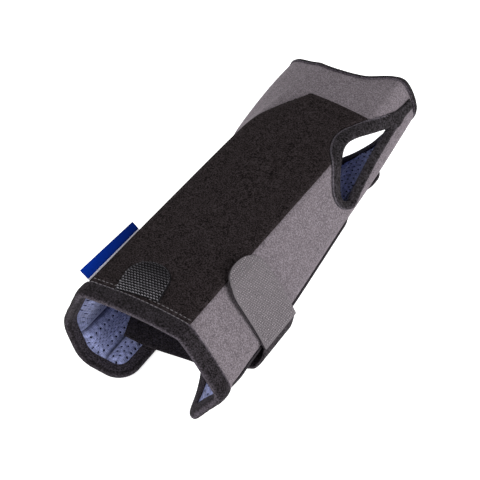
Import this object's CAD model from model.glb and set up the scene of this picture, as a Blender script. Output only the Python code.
"""Wrist support for a left hand, lying palm side down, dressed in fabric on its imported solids.

x points to the thumb side, y from the forearm end to the hand, z up. The pattern of each piece is laid
flat, as girth from the middle of the back towards the thumb and y, and is then wrapped round the form.
"""
import math

import bpy
import numpy as np
from bpy.props import FloatProperty, FloatVectorProperty, PointerProperty
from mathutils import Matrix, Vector, kdtree, noise
from mathutils.geometry import delaunay_2d_cdt


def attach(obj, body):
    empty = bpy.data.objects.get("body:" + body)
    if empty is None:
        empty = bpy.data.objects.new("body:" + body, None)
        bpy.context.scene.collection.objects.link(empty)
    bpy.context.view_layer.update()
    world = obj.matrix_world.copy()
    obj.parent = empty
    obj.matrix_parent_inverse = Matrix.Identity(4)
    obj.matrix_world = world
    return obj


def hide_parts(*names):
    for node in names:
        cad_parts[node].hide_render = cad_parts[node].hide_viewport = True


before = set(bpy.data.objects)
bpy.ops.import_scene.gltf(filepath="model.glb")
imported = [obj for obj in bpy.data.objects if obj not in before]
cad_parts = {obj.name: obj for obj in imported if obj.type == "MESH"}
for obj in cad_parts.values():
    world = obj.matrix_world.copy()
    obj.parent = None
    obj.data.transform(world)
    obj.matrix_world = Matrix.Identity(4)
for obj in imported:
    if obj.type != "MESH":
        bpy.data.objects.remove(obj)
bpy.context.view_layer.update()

bl_info = {
    "name": "Wrist Support",
    "version": (1, 0, 0),
    "blender": (4, 5, 0),
    "location": "View3D > Sidebar > Wrist Support",
    "description": "Builds a padded wrist support with bound edges, hook straps and a perforated lining",
    "category": "Add Mesh",
}

BODY = "root"
MM = 0.001

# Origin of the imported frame, in the frame that the tables below are measured in
ORIGIN = np.array([4.5, 123.3, 0.0]) * MM
CLEAR = 0.35 * MM

# Share of the lining's thickness that is left where the binding squeezes it
EDGE_SHARE = 0.35

# Share of a piece's thickness that is left at its rounded edge
ROUND_SHARE = 0.3

# Units of a piece's flat map in a metre, and the angle from which an edge is shaded sharp
MAP_SCALE = 10
SHARP_ANGLE = math.radians(55)

# Steps of a rounded flap corner, of a curved stretch of the thumb hole and of a strap's round tip
CORNER_STEPS = 8
CURVE_STEPS = 30
TIP_STEPS = 14

# Waves of soft fabric: their runs along y and along the girth, their shift and their height in millimetres
WAVES = (
    (19 * MM, 23 * MM, 0.0, 0.16),
    (31 * MM, -13 * MM, 1.3, 0.14),
)

# Height over the floor at which the waves start, and over which they rise
WAVES_START_Z = 8 * MM
WAVES_RISE = 16 * MM


def table(names, rows):
    """Columns of a table of lengths in millimetres, as arrays in metres."""
    return dict(zip(names.split(), np.array(rows, float).T * MM))


# Corners of the section run from the free edge of the ulnar flap over the back to the thumb-side flap
CORNER_RADII = np.array([14, 24, 9, 7.5, 8]) * MM
BASE_Z = 1.35 * MM
LEFT_CREASE, BACK_FLAT, RIGHT_CREASE, FOLD, LAST = 5, 6, 7, 9, 11

# Half widths and height of the flat back, and how far it is crowned
BACK = table("y left right top crown", [
    (-15, 36, 33, 70.5, 2.0),
    (60, 35, 33, 70.5, 1.2),
    (150, 33, 33.5, 70.5, 1.0),
    (200, 27, 33, 70, 1.4),
    (255, 22, 32, 69, 1.4),
])

# Ulnar side: where it bulges most, where it meets the floor, and its free edge
ULNAR = table("y bulge_x bulge_z base_x end_x", [
    (-15, -53, 29, -41.5, -9),
    (40, -52.3, 29, -41.5, -9),
    (100, -49.5, 31, -40.5, -9),
    (150, -48, 38, -39, -9),
    (175, -51, 47, -40, -9),
    (200, -54.5, 51, -42, -9),
    (225, -57, 53, -44, -10),
    (255, -58, 54, -45, -10),
])

# Thumb side: the fold between the wall and the flap, and the free edge of the flap
THUMB = table("y fold_x fold_z end_x end_z", [
    (-15, 60.4, 31, 40.4, -2.4),
    (0, 61.5, 30.5, 38.6, 2.35),
    (10, 62.6, 30.2, 35.6, 8.4),
    (20, 63.2, 30, 30.8, 13.2),
    (32, 63.4, 30, 27.5, 15),
    (65, 62.1, 30, 26, 15),
    (110, 58.9, 32.5, 22, 17),
    (150, 56.5, 36, 17.5, 21),
    (180, 55.6, 38.5, 15.5, 25.5),
    (200, 54, 40.5, 17, 26),
    (215, 52, 42.5, 25, 27.5),
    (230, 50, 44.5, 31, 29.5),
    (255, 47, 47, 33.5, 31),
])

# Forearm and hand ends of the wall, across the girth
ENDS = table("girth forearm hand", [
    (-140, -11, 236),
    (-105, -11, 236),
    (-75, -10, 242),
    (-58, -10.7, 247.2),
    (-50, -11, 246.5),
    (-41, -11.2, 244),
    (-28, -10.5, 240.8),
    (-10, -9.2, 239),
    (10, -8, 242.5),
    (25, -7.2, 253.2),
    (38, -6.6, 257.6),
    (50, -6.2, 256.6),
    (62, -6.3, 250.5),
    (78, -7, 245),
    (113, -12.2, 243),
])
FOREARM_Y = 0.0
HAND_Y = 240 * MM
FLAP_CORNER = 12 * MM

# Sewn seams of the lining: piece of the section and place along it
LINING_SEAMS = ((0, 0.76), (2, 0.75), (5, 0.5), (6, 0.5), (7, 0.5), (8, 0.5), (9, 0.33))
SEAM_START = -12 * MM
SEAM_STOP = 260 * MM
SEAM_STEP = 1.9 * MM

# Lining: creases beside a seam, how far they and the stitches keep from bound edges, width of a full channel
CREASE_SHIFT = 1.1 * MM
CREASE_MARGIN = 1.2 * MM
STITCH_MARGIN = 12 * MM
FULL_CHANNEL = 32 * MM

# Lining: girth and y, in millimetres, over which its padding pulls back on the thumb-side flap and at the
# hand end, and how far from a bound edge it starts and rises: anywhere, more on the flap, more at the hand
FLAP_PULL = (80, 92)
HAND_PULL = (195, 215)
PADDING_START = (3.5, 3, 3)
PADDING_RISE = (6, 10, 9)

# Lining: sides of its holes, distance of their rows in pitches, their taper, and how far they keep from the
# bound edges and the seams
HOLE_SIDES = 6
HOLE_ROWS = 0.85
HOLE_TAPER = 0.75
HOLE_MARGIN = 5.5 * MM
HOLE_SEAM_GAP = 1.7 * MM

# Lining: width of the shade along a seam, and the share, edge and fade along y of one worn channel
SHADE_WIDTH = 1.0 * MM
WORN_SHARE = 0.45
WORN_EDGE = 2 * MM
WORN_FADE = (40 * MM, 90 * MM)

# Thumb hole: its tip, then curved stretches, as distance below the thumb-side crease and y
THUMB_TIP = (16.7, 230)
THUMB_HOLE = table("bend bend_y to to_y", [
    (7.6, 208, -1.2, 189.5),
    (-5.2, 181, 0, 171),
    (6, 160.5, 17, 152),
    (26, 146.5, 30.5, 157),
    (21, 184, *THUMB_TIP),
])

# Thumb binding: how far its tape reaches on the outside, towards the back and below, and on the lining
THUMB_REACH = np.array([7.2, 2.6]) * MM
THUMB_INSIDE = 3 * MM

# Tail of the thumb binding, from the upper arm of the tape to the hand end and back to its lower arm
TAIL = table("below y", [
    (6.5, 224),
    (10.6, 234.5),
    (12, 243),
    (12.6, 253),
    (19.3, 251),
    (18.8, 240),
    (20.5, 231),
    (19, 226),
])

# Edge binding: y and girth, in millimetres, over which it narrows at the hand end, covers the web a little
# more, is tucked in at the two corners, reaches further in at the near flap corner and has a worn lip
HAND_NARROW = (215, 229)
WEB_GIRTH = (24, 42)
ULNAR_TUCK = (-60, -46)
THUMB_TUCK = (54, 61)
FLAP_GIRTH = (88, 98)
LIP_GIRTH = (-50, -36)
NEAR_FADE = (18, 40)

# Bindings: reach of the edge one where it is tucked, what is added at the flap corner, and their steps
TUCKED_REACH = 0.5 * MM
CORNER_REACH = 0.5 * MM
BINDING_STEP = 1.6 * MM
THUMB_STEP = 1.2 * MM

# Tape: swell of its outer side, bulge of its fold in millimetres and how much of that a tuck takes, width of
# its pattern, and the height of its felted grain with how often its coarse and fine grains come in a metre
TAPE_PUFF = 0.5 * MM
TAPE_BULGE = 1.6
TUCK_BULGE = 1.3
TAPE_PATTERN = 30 * MM
FELT_HEIGHT = 0.16 * MM
FELT_COARSE = 420
FELT_FINE = 1100

# Tape: share of its thickness left at its edge, and the angle round its fold, in degrees, at which its lip
# is most worn, with how far that spreads
TAPE_EDGE = 0.35
LIP_ANGLE = 100
LIP_SPREAD = 34

# Dorsal panel: its hand end, slanted corner and that corner's rounding along y, and the girth of its peak
PANEL_END = 208 * MM
PANEL_SLANT = 174 * MM
PANEL_ROUND = 13 * MM
PANEL_ROUND_SHARE = 0.45
PANEL_PEAK = -11 * MM

# Dorsal panel: how far it runs under the forearm binding, its gap to the thumb binding, the step of its
# mesh, its rounded edge and the rows of points along that edge
PANEL_TUCK = -0.3 * MM
PANEL_GAP = 0.5 * MM
PANEL_STEP = 1.3 * MM
PANEL_EDGE = 1.6 * MM
PANEL_BANDS = (0.45 * MM, 1.1 * MM)

# Seam tape: its ends along y, how far it fades out there, its place in the fold, its width and its thickness
SEAM_TAPE_Y = np.array([4, 151]) * MM
SEAM_TAPE_FADES = np.array([12, 6]) * MM
SEAM_TAPE_PLACE = 0.4
SEAM_TAPE_WIDTH = 5 * MM
SEAM_TAPE_THICK = 0.7 * MM

# Pocket tab: girth and y of the middle of its root, its turn, length, half width and roundness, steps of its
# mesh and of its hooks, and the stretch along y over which the hooks get darker
POCKET_ROOT = np.array([-3.2, 0.6]) * MM
POCKET_TURN = math.radians(11)
POCKET_LENGTH = 27 * MM
POCKET_HALF = 14 * MM
POCKET_ROUND = 2.3
POCKET_STEP = 0.9 * MM
POCKET_HOOK_STEP = 1.9 * MM
POCKET_FADE = (-0.124, -0.1)

# Straps: their run as x, z and y, from the tip of the forearm strap and to the tip of the palm strap
FOREARM_STRAP = table("x z y", [
    (31, 75, 50.5),
    (37, 70.4, 51.5),
    (61.9, 32.6, 52),
    (63.3, 27.2, 47),
    (60.2, 22.4, 43),
    (22, 7.8, 37),
    (-9, 9.9, 30),
    (-31, 12.2, 27.6),
])
PALM_STRAP = table("x z y", [
    (49.2, 35.0, 192.5),
    (18, 21.4, 190),
    (-10, 11.5, 190),
    (-29, 13, 190),
])

# Straps: radius of their bends, length and roundness of a tip, shares of the run at which the tab and its
# hooks end, skew of the inner end, and steps of the straps and of the tab's hooks
STRAP_BEND = 5 * MM
TIP_ROUND = 19 * MM
TIP_POWER = 2.4
TAB_END = 0.334
HOOK_END = 0.325
STRAP_SKEW = 0.35
STRAP_STEP = 0.9 * MM
PALM_STEP = 1.6 * MM
TAB_HOOK_STEP = 1.5 * MM

# Forearm strap: x over which the nap of its inner face is brushed up
STRAP_BRUSHED = (24 * MM, 36 * MM)

# Label: its section from under the edge of the panel outwards
LABEL_SECTION = table("x z", [
    (-33.9, 67.9),
    (-36.3, 68.9),
    (-37.8, 70.3),
    (-42.4, 73.7),
])

# Label: radii of its bends, its ends along y, how far it narrows, its thickness along its section, its curl
# and the length of that, its pale hem and the stretch along y over which it dims
LABEL_BENDS = np.array([1.5, 4]) * MM
LABEL_Y = np.array([-1.6, 47.4]) * MM
LABEL_NARROWS = 0.2
LABEL_THICK = ((0, 0.5), (0.1, 0.85), (0.85, 1.0), (0.97, 0.85), (1, 0.35))
LABEL_CURL = 0.2 * MM
LABEL_WAVE = 11 * MM
LABEL_HEM = 3.4 * MM
LABEL_DIM = (-0.122, -0.08)
HEM_COLOUR = (0.86, 0.84, 0.95)

# Stitches: how far in from the panel's near edge two rows run, one on the panel and one on the tape, which
# of their points are sewn, how far in from the panel's long edges others run and where those end along y
NEAR_ROWS = np.array([1.9, -0.9]) * MM
NEAR_SEWN = slice(3, -2)
LONG_ROWS = np.array([1.3, 1.6]) * MM
LONG_ROWS_Y = np.array([6, 148]) * MM

# Stitches: how far they run in from the inner edge of the bindings, and where they end along y
TAPE_ROW = 1.6 * MM
THUMB_ROW = 1.3 * MM
TAPE_ROW_END = 215 * MM

# Stage: azimuth and elevation in degrees, size and power of each lamp
LAMPS = {
    "key": (91, 25, 1.0, 33),
    "front": (-14, 44, 1.0, 14),
    "rim": (262, 12, 1.0, 27),
}

# Stage: what the lamps aim at and from how far, strength of the sky, half size and glow of the floor
LAMP_TARGET = Vector((0.0, 0.0, 0.03))
LAMP_DISTANCE = 1.6
SKY_STRENGTH = 0.115
FLOOR_HALF = 6.0
FLOOR_GLOW = 0.82

# Stage: the camera's target, azimuth, elevation and distance, and its lens and sensor in millimetres
CAMERA_TARGET = np.array([21.7, 70.7, 72]) * MM
CAMERA_SPOT = (33, 47, 0.8123)
CAMERA_LENS = 102.26
CAMERA_SENSOR = 36.0


def length_of(name, description, millimetres):
    """Property for a length, with its default in millimetres."""
    return FloatProperty(
        name=name,
        description=description,
        default=millimetres * MM,
        min=0.0,
        subtype="DISTANCE",
        unit="LENGTH",
        precision=5,
    )


def colour_of(name, description, red, green, blue):
    """Property for a colour."""
    return FloatVectorProperty(
        name=name,
        description=description,
        default=(red, green, blue),
        min=0.0,
        max=1.0,
        subtype="COLOR",
    )


class WristSupportSizes(bpy.types.PropertyGroup):
    """Sizes of the fabric, tape, stitches and hooks"""

    wall: length_of("Wall", "Thickness of the padded outer wall", 2.2)
    lining: length_of("Lining", "Thickness of the lining at its seams", 2.2)
    channel: length_of("Channel", "How far the lining swells between its seams", 5.4)
    panel: length_of("Panel", "Thickness of the loop felt on the back", 1.4)
    tape: length_of("Tape", "Thickness of the binding tape", 0.9)
    tape_width: length_of("Tape Width", "How far the binding reaches in on the outside", 8.5)
    tape_inside: length_of("Tape Inside", "How far the binding reaches in on the lining", 5.5)
    hand_cover: length_of("Hand Cover", "How far the binding reaches in on the back at the hand end", 1.8)
    strap: length_of("Strap", "Thickness of the straps", 1.5)
    strap_width: length_of("Strap Width", "Width of the straps", 34)
    hook_tape: length_of("Hook Tape", "Thickness of the hook tabs", 1.3)
    label: length_of("Label", "Thickness of the folded ribbon label", 0.9)
    fabric_step: length_of("Fabric Step", "Distance between the points of the large fabric pieces", 1.9)
    hole_pitch: length_of("Hole Pitch", "Distance between the holes of the lining along a row", 4.2)
    hole_width: length_of("Hole Width", "Width of a hole in the lining", 1.45)
    hole_depth: length_of("Hole Depth", "Depth of a hole in the lining", 1.3)
    stitch_pitch: length_of("Stitch Pitch", "Distance from stitch to stitch", 2.9)
    stitch_length: length_of("Stitch Length", "Length of the thread that shows of a stitch", 2.2)
    thread: length_of("Thread", "Thickness of the sewing thread", 0.5)
    hook_pitch: length_of("Hook Pitch", "Distance between the rows of hooks", 1.75)
    hook_height: length_of("Hook Height", "Height of a hook over its tape", 0.9)


class WristSupportColours(bpy.types.PropertyGroup):
    """Colours of the fabrics"""

    wall: colour_of("Wall", "Brushed loop fabric of the outer wall", 0.124, 0.109, 0.124)
    lining: colour_of("Lining", "Spacer mesh of the lining", 0.211, 0.233, 0.407)
    hole: colour_of("Hole", "Bottom of the holes in the lining", 0.012, 0.014, 0.035)
    panel: colour_of("Panel", "Loop felt on the back", 0.0158, 0.0127, 0.0138)
    binding: colour_of("Binding", "Felted binding tape", 0.0142, 0.0121, 0.0148)
    thumb: colour_of("Thumb Binding", "Binding tape round the thumb hole", 0.0155, 0.0138, 0.0162)
    strap: colour_of("Strap", "Loop fabric of the straps", 0.022, 0.0191, 0.022)
    hook_dark: colour_of("Pocket Tab", "Dark hook tape on the back", 0.012, 0.0115, 0.013)
    hook_grey: colour_of("Strap Tab", "Grey hook tape on the forearm strap", 0.13, 0.117, 0.126)
    thread: colour_of("Thread", "Sewing thread on the outside", 0.16, 0.15, 0.16)
    label: colour_of("Label", "Satin ribbon label", 0.0005, 0.0125, 0.135)
    pocket_hooks: colour_of("Pocket Hooks", "Hooks of the dark hook tape", 0.22, 0.212, 0.232)
    floor: colour_of("Floor", "Plain floor", 0.9, 0.9, 0.9)


def smooth(columns, key, at, name):
    """Smooth value of one column of a table between its rows, which are placed by the column called key."""
    keys, values = columns[key], columns[name]
    order = np.arange(len(keys))
    before = np.maximum(order - 1, 0)
    after = np.minimum(order + 1, len(keys) - 1)
    slope = (values[after] - values[before]) / (keys[after] - keys[before])
    i = np.clip(np.searchsorted(keys, at) - 1, 0, len(keys) - 2)
    span = keys[i + 1] - keys[i]
    t = np.clip((at - keys[i]) / span, 0, 1)
    keep = (1 + 2 * t) * (1 - t) ** 2
    bend = slope[i] * t * (1 - t) ** 2 - slope[i + 1] * t**2 * (1 - t)
    return keep * values[i] + (1 - keep) * values[i + 1] + span * bend


def turned(ways, angle):
    """Directions turned by an angle each."""
    c, s = np.cos(angle), np.sin(angle)
    return np.stack([ways[:, 0] * c - ways[:, 1] * s, ways[:, 0] * s + ways[:, 1] * c], 1)


def rounded_run(corners, radii):
    """Straight and round pieces through corner points, for many runs at once.

    corners is indexed by corner, run and axis. Each piece is its start, heading, turn and length.
    """
    steps = np.diff(corners, axis=0)
    spans = np.linalg.norm(steps, axis=2)
    ways = steps / spans[..., None]
    cross = ways[:-1, :, 0] * ways[1:, :, 1] - ways[:-1, :, 1] * ways[1:, :, 0]
    turns = np.arctan2(cross, (ways[:-1] * ways[1:]).sum(2))
    cuts = np.asarray(radii)[:, None] * np.tan(np.abs(turns) / 2)
    none = np.zeros_like(spans[0])
    pieces = []
    for k in range(len(spans)):
        start_cut = cuts[k - 1] if k else none
        end_cut = cuts[k] if k < len(cuts) else none
        start = corners[k] + ways[k] * start_cut[:, None]
        pieces.append((start, ways[k], none, spans[k] - start_cut - end_cut))
        if k < len(cuts):
            bend = corners[k + 1] - ways[k] * end_cut[:, None]
            pieces.append((bend, ways[k], turns[k], radii[k] * np.abs(turns[k])))
    return pieces


def run_place(pieces, along):
    """Point and outward direction at a distance along each run."""
    point = np.zeros((len(along), 2))
    out = np.zeros((len(along), 2))
    begin = np.full(len(along), -np.inf)
    passed = np.zeros(len(along))
    for start, way, turn, length in pieces:
        here = (along > begin)[:, None]
        local = along - passed
        angle = turn * local / np.maximum(length, 1e-12)
        chord = local * np.sinc(angle / (2 * np.pi))
        heading = turned(way, angle)
        point = np.where(here, start + turned(way, angle / 2) * chord[:, None], point)
        out = np.where(here, np.stack([-heading[:, 1], heading[:, 0]], 1), out)
        passed = passed + length
        begin = passed
    return point, out


def section(y):
    """Section of the outer face of the wall at each y: its pieces, middle and marks along the girth."""
    base = np.full(len(y), BASE_Z)
    corners = np.stack([
        np.stack([smooth(ULNAR, "y", y, "end_x"), base], 1),
        np.stack([smooth(ULNAR, "y", y, "base_x"), base], 1),
        np.stack([smooth(ULNAR, "y", y, "bulge_x"), smooth(ULNAR, "y", y, "bulge_z")], 1),
        np.stack([-smooth(BACK, "y", y, "left"), smooth(BACK, "y", y, "top")], 1),
        np.stack([smooth(BACK, "y", y, "right"), smooth(BACK, "y", y, "top")], 1),
        np.stack([smooth(THUMB, "y", y, "fold_x"), smooth(THUMB, "y", y, "fold_z")], 1),
        np.stack([smooth(THUMB, "y", y, "end_x"), smooth(THUMB, "y", y, "end_z")], 1),
    ])
    pieces = rounded_run(corners, CORNER_RADII)
    lengths = np.array([piece[3] for piece in pieces])
    marks = np.vstack([np.zeros(len(y)), np.cumsum(lengths, axis=0)])
    middle = marks[BACK_FLAT] - pieces[BACK_FLAT][0][:, 0]
    return pieces, middle, marks - middle


def girth_at(y, piece, place):
    """Girth at a place along one piece of the section, for each y."""
    marks = section(np.atleast_1d(y))[2]
    return marks[piece] + (marks[piece + 1] - marks[piece]) * place


def sway(girth, y, z):
    """Slight waviness of soft fabric, which dies out towards the floor."""
    lift = np.clip((z - WAVES_START_Z) / WAVES_RISE, 0, 1)
    waves = sum(height * np.sin(y / long + girth / across + shift) for long, across, shift, height in WAVES)
    return lift * waves * MM


def wrap(flat, height=0.0):
    """Points of the form at flat (girth, y), at a height above the outer face of the wall."""
    girth, y = flat[:, 0], flat[:, 1]
    pieces, middle, marks = section(y)
    point, out = run_place(pieces, girth + middle)
    across = np.where(girth < 0, girth / marks[BACK_FLAT], girth / marks[RIGHT_CREASE])
    crown = smooth(BACK, "y", y, "crown") * np.maximum(0, 1 - across**2)
    rise = height + crown + sway(girth, y, point[:, 1])
    return np.stack([point[:, 0] + out[:, 0] * rise, y, point[:, 1] + out[:, 1] * rise], 1) - ORIGIN


def corner_draw(inset):
    """How far a flap's end draws back at a distance from its free edge."""
    inside = np.maximum(0, FLAP_CORNER - inset)
    return FLAP_CORNER - np.sqrt(FLAP_CORNER**2 - inside**2)


def wall_columns(marks, counts):
    """Girths across the wall at the given marks, from one free edge to the other."""
    corner = FLAP_CORNER * (1 - np.cos(np.linspace(0, np.pi / 2, CORNER_STEPS)))
    stops = marks.copy()
    stops[0] += FLAP_CORNER
    stops[-1] -= FLAP_CORNER
    girths = [marks[0] + inset for inset in corner]
    for k, count in enumerate(counts):
        for step in range(1, count + 1):
            girths.append(stops[k] + (stops[k + 1] - stops[k]) * step / count)
    girths += [marks[-1] - inset for inset in corner[-2::-1]]
    insets = np.full(len(girths), FLAP_CORNER)
    insets[: len(corner)] = corner
    insets[-len(corner):] = corner[::-1]
    return np.array(girths), insets


def wall_end(side, counts):
    """Flat points along the forearm or hand end of the wall, with rounded flap corners."""
    level, sign = (FOREARM_Y, 1) if side == "forearm" else (HAND_Y, -1)
    girths, insets = wall_columns(section(np.array([level]))[2][:, 0], counts)
    y = smooth(ENDS, "girth", girths, side) + sign * corner_draw(insets)
    columns = wall_columns(section(y)[2], counts)[0]
    return np.stack([np.diagonal(columns), y], 1)


def wall_outline(step):
    """Flat outline of the wall: forearm end, thumb-side edge, hand end, ulnar edge."""
    lengths = np.diff(section(np.array([HAND_Y / 2]))[2][:, 0])
    counts = np.maximum(2, np.round(lengths / step)).astype(int)
    forearm = wall_end("forearm", counts)
    hand = wall_end("hand", counts)[::-1]

    def free_edge(start, stop, mark):
        count = max(2, int(abs(stop[1] - start[1]) / step))
        y = np.linspace(start[1], stop[1], count + 1)[1:-1]
        return np.stack([section(y)[2][mark], y], 1)

    right = free_edge(forearm[-1], hand[0], LAST)
    left = free_edge(hand[-1], forearm[0], 0)
    return even_loop(np.vstack([forearm, right, hand, left]), step)


def even_loop(points, step):
    """Closed loop of flat points, spaced evenly."""
    closed = np.vstack([points, points[:1]])
    along = np.concatenate([[0], np.cumsum(np.linalg.norm(np.diff(closed, axis=0), axis=1))])
    places = np.linspace(0, along[-1], int(along[-1] / step) + 1)[:-1]
    return np.stack([np.interp(places, along, closed[:, k]) for k in (0, 1)], 1)


def ease(value, low, high):
    """Smooth step from 0 at low to 1 at high."""
    share = np.clip((value - low) / (high - low), 0, 1)
    return share * share * (3 - 2 * share)


def inward_ways(loop):
    """Directions to the left of a closed loop of flat points."""
    ahead = np.roll(loop, -1, axis=0) - loop
    behind = loop - np.roll(loop, 1, axis=0)
    way = ahead / np.linalg.norm(ahead, axis=1)[:, None] + behind / np.linalg.norm(behind, axis=1)[:, None]
    way /= np.linalg.norm(way, axis=1)[:, None]
    return np.stack([-way[:, 1], way[:, 0]], 1)


def crease_girth(y, crease=RIGHT_CREASE):
    """Girth at the middle of a crease beside the back, which is the thumb-side one if none is given."""
    return girth_at(y, crease, 0.5)


def thumb_outline(step, widen=None):
    """Flat outline of the thumb hole, a distance outside its cut edge, with the ways out of the hole."""
    tip = np.array(THUMB_TIP) * MM
    points, start = [], tip
    t = np.linspace(0, 1, CURVE_STEPS)[:-1, None]
    for bend, bend_y, to, to_y in zip(*THUMB_HOLE.values()):
        middle, stop = np.array([bend, bend_y]), np.array([to, to_y])
        points.append((1 - t) ** 2 * start + 2 * t * (1 - t) * middle + t**2 * stop)
        start = stop
    loop = even_loop(np.vstack(points), step)
    out = -inward_ways(loop)
    if widen is not None:
        loop = loop + out * widen(out)[:, None]
    return np.stack([loop[:, 0] + crease_girth(loop[:, 1]), loop[:, 1]], 1), out


def thumb_reach(out):
    """How far the thumb binding reaches on the outside: broad towards the back, narrow below."""
    return np.interp(out[:, 0], [-1, 1], THUMB_REACH)


def within(points, loop):
    """Which flat points lie inside a closed loop."""
    inside = np.zeros(len(points), bool)
    for a, b in zip(loop, np.roll(loop, -1, axis=0)):
        if a[1] == b[1]:
            continue
        crosses = (points[:, 1] > a[1]) != (points[:, 1] > b[1])
        inside ^= crosses & (points[:, 0] < (b[0] - a[0]) * (points[:, 1] - a[1]) / (b[1] - a[1]) + a[0])
    return inside


def distance_to(points, edge):
    """Distance of flat points from the nearest of the points of an edge."""
    tree = kdtree.KDTree(len(edge))
    for i, (u, v) in enumerate(edge):
        tree.insert((u, v, 0.0), i)
    tree.balance()
    return np.array([tree.find((u, v, 0.0))[2] for u, v in points])


def even_grid(outline, step):
    """Flat points in staggered rows over the box of an outline."""
    low, high = outline.min(0), outline.max(0)
    row = step * math.sqrt(0.75)
    return np.array([
        (low[0] + (i + 0.5 * (j % 2)) * step, low[1] + j * row)
        for j in range(int((high[1] - low[1]) / row) + 1)
        for i in range(int((high[0] - low[0]) / step) + 1)
    ])


def flat_mesh(outline, holes, step, rings=(), creases=(), bands=()):
    """Even triangles inside an outline, outside its holes and small rings.

    The points come in the order outline, holes, rings, creases and the rest. Creases are lines that edges
    follow, and bands are distances from the outline and holes at which rows of points run.
    """
    loops = [outline, *holes]
    sides = [1] + [-1] * len(holes)
    spare = 0.6 * step

    def inside(points):
        keep = within(points, outline)
        for hole in holes:
            keep &= ~within(points, hole)
        return keep

    edge = np.vstack(loops)
    rows = []
    for band in bands:
        ring = np.vstack([loop + side * band * inward_ways(loop) for loop, side in zip(loops, sides)])
        ring = ring[inside(ring)]
        rows.append(ring[distance_to(ring, edge) > 0.93 * band])
    rows = np.vstack(rows) if rows else np.zeros((0, 2))
    grid = even_grid(outline, step)
    grid = grid[inside(grid)]
    grid = grid[distance_to(grid, edge) > spare + max(bands, default=0)]
    if len(creases):
        grid = grid[distance_to(grid, np.vstack(creases)) > spare]
    if len(rings):
        centres = np.array([ring.mean(0) for ring in rings])
        reach = np.linalg.norm(rings[0][0] - centres[0])
        grid = grid[distance_to(grid, centres) > reach + 0.35 * step]
    points, edges = [], []
    for loop in [*loops, *rings]:
        first = len(points)
        points += [Vector(p) for p in loop]
        edges += [(first + i, first + (i + 1) % len(loop)) for i in range(len(loop))]
    for line in creases:
        first = len(points)
        points += [Vector(p) for p in line]
        edges += [(first + i, first + i + 1) for i in range(len(line) - 1)]
    points += [Vector(p) for p in rows] + [Vector(p) for p in grid]
    made = delaunay_2d_cdt(points, edges, [], 0, 1e-9)
    corners = np.array([tuple(v) for v in made[0]])
    faces = np.array(made[2])
    centre = corners[faces].mean(axis=1)
    keep = inside(centre)
    if len(rings):
        keep &= distance_to(centre, centres) > 0.7 * reach
    faces = faces[keep]
    a, b, c = (corners[faces[:, k]] for k in range(3))
    area = (b - a)[:, 0] * (c - a)[:, 1] - (b - a)[:, 1] * (c - a)[:, 0]
    faces[area < 0] = faces[area < 0][:, ::-1]
    used = np.unique(faces)
    number = np.full(len(corners), -1)
    number[used] = np.arange(len(used))
    return corners[used], number[faces]


def rim(faces):
    """Edges that only one of the faces has, in the direction of that face."""
    seen = {}
    for a, b, c in faces:
        for edge in ((a, b), (b, c), (c, a)):
            seen[edge] = True
    return np.array([edge for edge in seen if (edge[1], edge[0]) not in seen])


def placed(name, data):
    """New object in the scene for a mesh, curve, light or camera."""
    thing = bpy.data.objects.new(name, data)
    bpy.context.scene.collection.objects.link(thing)
    return thing


def edge_distance(flat, faces):
    """Distance of flat points from the rim of their faces."""
    return distance_to(flat, flat[np.unique(rim(faces))])


def new_piece(name, points, faces, flat):
    """Mesh object at the origin, with the flat pattern as its map in units of 100 mm."""
    mesh = bpy.data.meshes.new(name)
    mesh.from_pydata(np.asarray(points).tolist(), [], [list(map(int, face)) for face in faces])
    mesh.update()
    corner = np.empty(len(mesh.loops), int)
    mesh.loops.foreach_get("vertex_index", corner)
    layer = mesh.uv_layers.new(name="pattern")
    layer.data.foreach_set("uv", (flat[corner] * MAP_SCALE).astype(np.float32).ravel())
    mesh.shade_smooth()
    mesh.set_sharp_from_angle(angle=SHARP_ANGLE)
    return placed(name, mesh)


def store(piece, label, values):
    """Keeps a value for each point of a piece, which its material reads."""
    attribute = piece.data.attributes.new(label, "FLOAT", "POINT")
    attribute.data.foreach_set("value", np.asarray(values, np.float32))


def cloth_shell(name, flat, faces, top, bottom):
    """Closed piece between two heights over the flat triangles."""
    count = len(flat)
    points = np.vstack([wrap(flat, top), wrap(flat, bottom)])
    edge = rim(faces)
    sides = np.stack([edge[:, 1], edge[:, 0], edge[:, 0] + count, edge[:, 1] + count], 1)
    skin = [*faces.tolist(), *(faces[:, ::-1] + count).tolist(), *sides.tolist()]
    return new_piece(name, points, skin, np.vstack([flat, flat]))


def rounded_edge(thickness, distance, radius):
    """Thickness that falls off round towards an edge."""
    short = 1 - np.clip(distance / radius, 0, 1)
    return thickness * (ROUND_SHARE + (1 - ROUND_SHARE) * np.sqrt(1 - short**2))


def grid_piece(name, top, bottom, flat):
    """Closed piece between two grids of points, rows by columns."""
    rows, columns = top.shape[:2]
    index = np.arange(rows * columns).reshape(rows, columns)
    under = index + rows * columns

    def sheet(grid):
        a, b, c, d = grid[:-1, :-1], grid[:-1, 1:], grid[1:, 1:], grid[1:, :-1]
        return np.stack([a, b, c, d], -1).reshape(-1, 4)

    border = np.concatenate([index[0], index[1:, -1], index[-1, -2::-1], index[-2:0:-1, 0]])
    ahead = np.roll(border, -1)
    sides = np.stack([ahead, border, border + rows * columns, ahead + rows * columns], 1)
    quads = np.vstack([sheet(index), sheet(under)[:, ::-1], sides])
    points = np.vstack([top.reshape(-1, 3), bottom.reshape(-1, 3)])
    uv = flat.reshape(-1, 2)
    piece = new_piece(name, points, quads, np.vstack([uv, uv]))
    face_out(piece)
    return piece


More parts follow.
